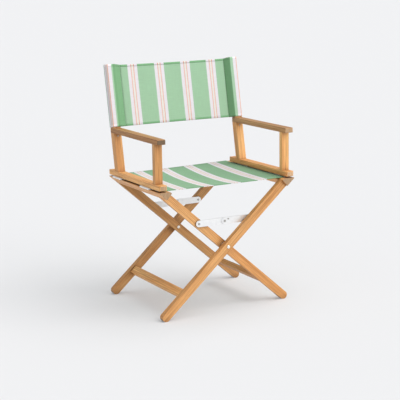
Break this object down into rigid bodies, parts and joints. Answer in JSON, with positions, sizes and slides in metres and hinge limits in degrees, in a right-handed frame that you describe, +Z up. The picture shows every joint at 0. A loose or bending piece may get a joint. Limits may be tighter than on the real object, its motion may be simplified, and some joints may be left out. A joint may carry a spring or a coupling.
{
  "type": "folding chair",
  "caption": "Sideways-folding director's chair with a light wood frame, striped green and white canvas seat and back, flat armrests and folding metal braces.",
  "frame": {"origin": "Middle of the chair's footprint on the floor, with the chair open.", "axes": "+Z up, the chair faces -Y, +X is to the right of somebody looking at its front."},
  "size_m": [0.5656, 0.456, 0.8779],
  "materials": {
    "wood": "satin",
    "metal": "polished",
    "canvas": "matte"
  },
  "bodies": {
    "pivots": {"pivot_bolt_front": "metal", "pivot_nut_front": "metal", "pivot_spacer_front": "metal", "pivot_bolt_rear": "metal", "pivot_nut_rear": "metal", "pivot_spacer_rear": "metal"},
    "outer_frame": {"outer_leg_front": "wood", "outer_leg_rear": "wood", "outer_stretcher": "wood", "seat_rail_right": "wood", "hinge_seat_leaf_right_front": "metal", "hinge_seat_leaf_right_rear": "metal", "hinge_pin_right_front": "metal", "hinge_pin_right_rear": "metal", "seat_canvas": "canvas"},
    "inner_frame": {"inner_leg_front": "wood", "inner_leg_rear": "wood", "inner_stretcher": "wood", "seat_rail_left": "wood", "hinge_seat_leaf_left_front": "metal", "hinge_seat_leaf_left_rear": "metal", "hinge_pin_left_front": "metal", "hinge_pin_left_rear": "metal", "brace_screw_inner_front": "metal", "brace_washer_inner_front": "metal", "brace_screw_inner_rear": "metal", "brace_washer_inner_rear": "metal"},
    "right_arm": {"arm_rail_right": "wood", "front_post_right": "wood", "back_post_right": "wood", "armrest_right": "wood", "post_screw_right": "metal", "hinge_arm_leaf_right_front": "metal", "hinge_arm_leaf_right_rear": "metal", "back_canvas": "canvas"},
    "left_arm": {"arm_rail_left": "wood", "front_post_left": "wood", "back_post_left": "wood", "armrest_left": "wood", "post_screw_left": "metal", "hinge_arm_leaf_left_front": "metal", "hinge_arm_leaf_left_rear": "metal"},
    "front_link_inner": {"brace_link_inner_front": "metal", "brace_rivet_front": "metal"},
    "front_link_outer": {"brace_link_outer_front": "metal", "brace_stop_front": "metal", "brace_screw_outer_front": "metal", "brace_washer_outer_front": "metal"},
    "rear_link_inner": {"brace_link_inner_rear": "metal", "brace_rivet_rear": "metal"},
    "rear_link_outer": {"brace_link_outer_rear": "metal", "brace_stop_rear": "metal", "brace_screw_outer_rear": "metal", "brace_washer_outer_rear": "metal"}
  },
  "joints": [
    {"name": "fold", "type": "hinge", "parent": "pivots", "child": "outer_frame", "pos_m": [0, 0, 0.23969], "axis": [0, -1, 0], "range_deg": [0, 41], "deforming": ["seat_canvas", "back_canvas"]},
    {"name": "cross", "type": "hinge", "parent": "outer_frame", "child": "inner_frame", "pos_m": [0, 0, 0.23969], "axis": [0, 1, 0], "range_deg": [0, 82]},
    {"name": "right_arm_hinge", "type": "hinge", "parent": "outer_frame", "child": "right_arm", "pos_m": [0.2796, 0, 0.469], "axis": [0, 1, 0], "range_deg": [0, 41]},
    {"name": "left_arm_hinge", "type": "hinge", "parent": "inner_frame", "child": "left_arm", "pos_m": [-0.2796, 0, 0.469], "axis": [0, -1, 0], "range_deg": [0, 41]},
    {"name": "front_brace_end", "type": "hinge", "parent": "inner_frame", "child": "front_link_inner", "pos_m": [-0.10336, -0.193, 0.33113], "axis": [0, 1, 0], "range_deg": [0, 38.97]},
    {"name": "front_brace_middle", "type": "hinge", "parent": "front_link_inner", "child": "front_link_outer", "pos_m": [0, -0.193, 0.33113], "axis": [0, -1, 0], "range_deg": [0, 159.94]},
    {"name": "rear_brace_end", "type": "hinge", "parent": "inner_frame", "child": "rear_link_inner", "pos_m": [-0.10336, 0.193, 0.33113], "axis": [0, 1, 0], "range_deg": [0, 38.97]},
    {"name": "rear_brace_middle", "type": "hinge", "parent": "rear_link_inner", "child": "rear_link_outer", "pos_m": [0, 0.193, 0.33113], "axis": [0, -1, 0], "range_deg": [0, 159.94]}
  ],
  "couplings": [
    {"joint": "cross", "follows": "fold", "ratio": 2},
    {"joint": "right_arm_hinge", "follows": "fold", "ratio": 1},
    {"joint": "left_arm_hinge", "follows": "fold", "ratio": 1},
    {"joint": "front_brace_end", "follows": "fold", "ratio": 0.95033},
    {"joint": "front_brace_middle", "follows": "fold", "ratio": 3.9007},
    {"joint": "rear_brace_end", "follows": "fold", "ratio": 0.95033},
    {"joint": "rear_brace_middle", "follows": "fold", "ratio": 3.9007}
  ]
}
